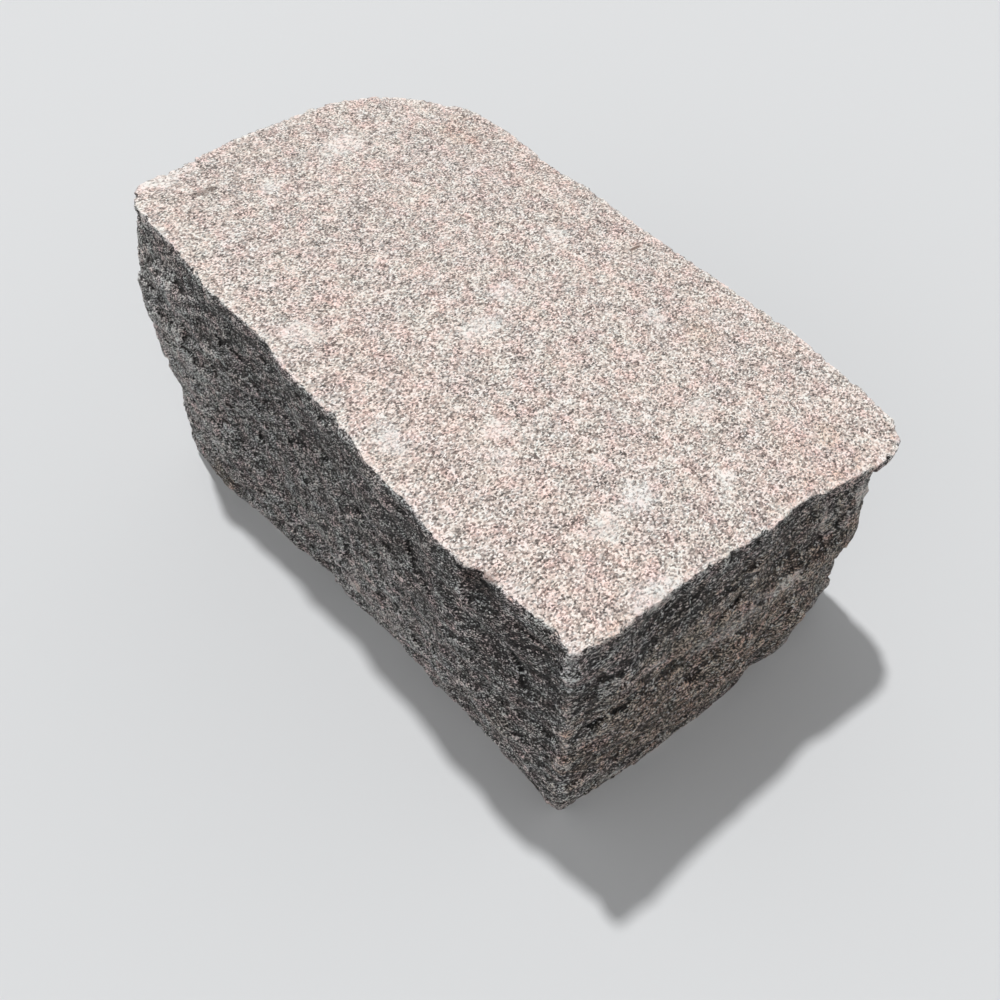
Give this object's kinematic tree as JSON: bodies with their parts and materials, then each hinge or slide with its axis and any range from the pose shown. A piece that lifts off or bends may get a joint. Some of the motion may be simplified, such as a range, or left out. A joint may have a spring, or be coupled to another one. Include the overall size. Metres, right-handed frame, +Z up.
{
  "type": "granite belgian block",
  "caption": "Roughly rectangular paving and edging block of pinkish grey granite, split on its sides, with a flat top that falls to one corner, one broken corner and a flat bed",
  "frame": {"origin": "the middle of the block's bounding box, on the bed that it rests on", "axes": "+X runs along the block to its near end, -Y faces the front long side, +Z is up"},
  "size_m": [0.2968, 0.193, 0.1468],
  "materials": {
    "granite": "split granite, fine salt and pepper grain with pink feldspar, matte"
  },
  "bodies": {
    "root": {"granite_block": "granite"}
  },
  "joints": []
}
